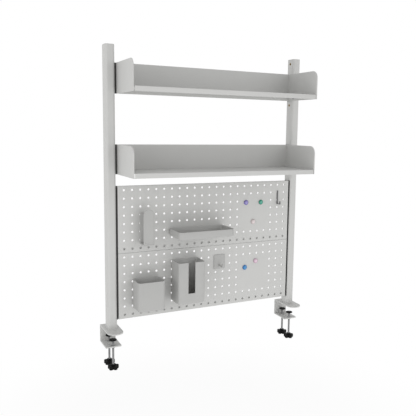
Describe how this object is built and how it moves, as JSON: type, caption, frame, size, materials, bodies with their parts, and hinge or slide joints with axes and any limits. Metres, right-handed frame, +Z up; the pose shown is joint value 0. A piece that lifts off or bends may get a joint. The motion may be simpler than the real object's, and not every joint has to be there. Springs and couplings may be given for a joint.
{
  "type": "clamp-on desk shelf",
  "caption": "Desk shelf on clamped uprights: open shelves over perforated panels with hook-on bins, tray, hooks and magnets; clamp screws turn and raise their pads.",
  "frame": {"origin": "on the plane of the desk top at its rear edge, midway between the two clamps", "axes": "+X along the desk's rear edge to the sitter's right, +Y away from the sitter, +Z up"},
  "size_m": [1.0196, 0.317, 1.443],
  "materials": {
    "light_grey_paint": "fine matte powder coat",
    "light_grey_plastic": "satin moulded",
    "grey_plastic": "satin moulded",
    "dark_grey_paint": "matte coat",
    "black_steel": "matte black coat",
    "black_plastic": "matte moulded",
    "zinc_steel": "zinc plated",
    "gold_zinc": "yellow zinc plated",
    "cast_aluminium": "as cast",
    "purple_gloss": "glossy",
    "green_gloss": "glossy",
    "pale_pink_gloss": "glossy",
    "blue_gloss": "glossy",
    "violet_gloss": "glossy"
  },
  "bodies": {
    "frame": {"foot_bolts": "zinc_steel", "clamp_nuts": "zinc_steel", "end_plate_screws": "zinc_steel", "bracket_bolts": "black_steel", "rivet_nuts": "gold_zinc", "stud_nuts": "zinc_steel", "shelf_studs": "zinc_steel", "left_upright": "light_grey_paint", "left_top_cap": "light_grey_plastic", "left_foot_plug": "cast_aluminium", "left_clamp_bracket": "light_grey_paint", "left_panel_bracket": "black_steel", "right_upright": "light_grey_paint", "right_top_cap": "light_grey_plastic", "right_foot_plug": "cast_aluminium", "right_clamp_bracket": "light_grey_paint", "right_panel_bracket": "black_steel", "upper_shelf_tray": "light_grey_paint", "upper_shelf_back": "light_grey_paint", "upper_panel": "light_grey_paint", "upper_shelf_left_flange": "light_grey_paint", "upper_shelf_left_end": "light_grey_plastic", "upper_shelf_left_bracket": "black_steel", "upper_shelf_right_flange": "light_grey_paint", "upper_shelf_right_end": "light_grey_plastic", "upper_shelf_right_bracket": "black_steel", "lower_shelf_tray": "light_grey_paint", "lower_shelf_back": "light_grey_paint", "lower_panel": "light_grey_paint", "lower_shelf_left_flange": "light_grey_paint", "lower_shelf_left_end": "light_grey_plastic", "lower_shelf_left_bracket": "black_steel", "lower_shelf_right_flange": "light_grey_paint", "lower_shelf_right_end": "light_grey_plastic", "lower_shelf_right_bracket": "black_steel"},
    "left_rear_pad_body": {"left_rear_pad": "black_plastic"},
    "left_rear_screw_body": {"left_rear_screw": "zinc_steel", "left_rear_knob": "black_plastic"},
    "left_front_pad_body": {"left_front_pad": "black_plastic"},
    "left_front_screw_body": {"left_front_screw": "zinc_steel", "left_front_knob": "black_plastic"},
    "right_rear_pad_body": {"right_rear_pad": "black_plastic"},
    "right_rear_screw_body": {"right_rear_screw": "zinc_steel", "right_rear_knob": "black_plastic"},
    "right_front_pad_body": {"right_front_pad": "black_plastic"},
    "right_front_screw_body": {"right_front_screw": "zinc_steel", "right_front_knob": "black_plastic"},
    "storage_tray_body": {"storage_tray": "grey_plastic"},
    "pen_cup_body": {"pen_cup": "grey_plastic"},
    "slot_bin_body": {"slot_bin": "grey_plastic"},
    "tablet_holder_body": {"tablet_holder": "grey_plastic"},
    "key_hook_body": {"key_plate": "grey_plastic", "key_peg": "grey_plastic"},
    "strip_hook_body": {"strip_hook": "dark_grey_paint"},
    "purple_magnet_body": {"purple_magnet": "purple_gloss"},
    "green_magnet_body": {"green_magnet": "green_gloss"},
    "pale_pink_magnet_body": {"pale_pink_magnet": "pale_pink_gloss"},
    "blue_magnet_body": {"blue_magnet": "blue_gloss"},
    "violet_magnet_body": {"violet_magnet": "violet_gloss"}
  },
  "joints": [
    {"name": "left_rear_rise", "type": "slide", "parent": "frame", "child": "left_rear_pad_body", "axis": [0, 0, 1], "range_m": [-0.0126, 0.0401]},
    {"name": "left_rear_turn", "type": "hinge", "parent": "left_rear_pad_body", "child": "left_rear_screw_body", "pos_m": [-0.47375, -0.021, -0.1], "axis": [0, 0, 1], "range_deg": [-3600, 11520]},
    {"name": "left_front_rise", "type": "slide", "parent": "frame", "child": "left_front_pad_body", "axis": [0, 0, 1], "range_m": [-0.0126, 0.0401]},
    {"name": "left_front_turn", "type": "hinge", "parent": "left_front_pad_body", "child": "left_front_screw_body", "pos_m": [-0.47375, -0.087, -0.1], "axis": [0, 0, 1], "range_deg": [-3600, 11520]},
    {"name": "right_rear_rise", "type": "slide", "parent": "frame", "child": "right_rear_pad_body", "axis": [0, 0, 1], "range_m": [-0.0126, 0.0401]},
    {"name": "right_rear_turn", "type": "hinge", "parent": "right_rear_pad_body", "child": "right_rear_screw_body", "pos_m": [0.47375, -0.021, -0.1], "axis": [0, 0, 1], "range_deg": [-3600, 11520]},
    {"name": "right_front_rise", "type": "slide", "parent": "frame", "child": "right_front_pad_body", "axis": [0, 0, 1], "range_m": [-0.0126, 0.0401]},
    {"name": "right_front_turn", "type": "hinge", "parent": "right_front_pad_body", "child": "right_front_screw_body", "pos_m": [0.47375, -0.087, -0.1], "axis": [0, 0, 1], "range_deg": [-3600, 11520]},
    {"name": "storage_tray_lift", "type": "slide", "parent": "frame", "child": "storage_tray_body", "axis": [0, 0, 1], "range_m": [0, 0.0045]},
    {"name": "pen_cup_lift", "type": "slide", "parent": "frame", "child": "pen_cup_body", "axis": [0, 0, 1], "range_m": [0, 0.0045]},
    {"name": "slot_bin_lift", "type": "slide", "parent": "frame", "child": "slot_bin_body", "axis": [0, 0, 1], "range_m": [0, 0.0045]},
    {"name": "tablet_holder_lift", "type": "slide", "parent": "frame", "child": "tablet_holder_body", "axis": [0, 0, 1], "range_m": [0, 0.0045]},
    {"name": "key_hook_lift", "type": "slide", "parent": "frame", "child": "key_hook_body", "axis": [0, 0, 1], "range_m": [0, 0.0045]},
    {"name": "strip_hook_lift", "type": "slide", "parent": "frame", "child": "strip_hook_body", "axis": [0, 0, 1], "range_m": [0, 0.0045]},
    {"name": "purple_magnet_pull", "type": "slide", "parent": "frame", "child": "purple_magnet_body", "axis": [0, -1, 0], "range_m": [0, 0.012]},
    {"name": "green_magnet_pull", "type": "slide", "parent": "frame", "child": "green_magnet_body", "axis": [0, -1, 0], "range_m": [0, 0.012]},
    {"name": "pale_pink_magnet_pull", "type": "slide", "parent": "frame", "child": "pale_pink_magnet_body", "axis": [0, -1, 0], "range_m": [0, 0.012]},
    {"name": "blue_magnet_pull", "type": "slide", "parent": "frame", "child": "blue_magnet_body", "axis": [0, -1, 0], "range_m": [0, 0.012]},
    {"name": "violet_magnet_pull", "type": "slide", "parent": "frame", "child": "violet_magnet_body", "axis": [0, -1, 0], "range_m": [0, 0.012]}
  ],
  "couplings": [
    {"joint": "left_rear_rise", "follows": "left_rear_turn", "m_per_rad": 0.00019894},
    {"joint": "left_front_rise", "follows": "left_front_turn", "m_per_rad": 0.00019894},
    {"joint": "right_rear_rise", "follows": "right_rear_turn", "m_per_rad": 0.00019894},
    {"joint": "right_front_rise", "follows": "right_front_turn", "m_per_rad": 0.00019894}
  ]
}
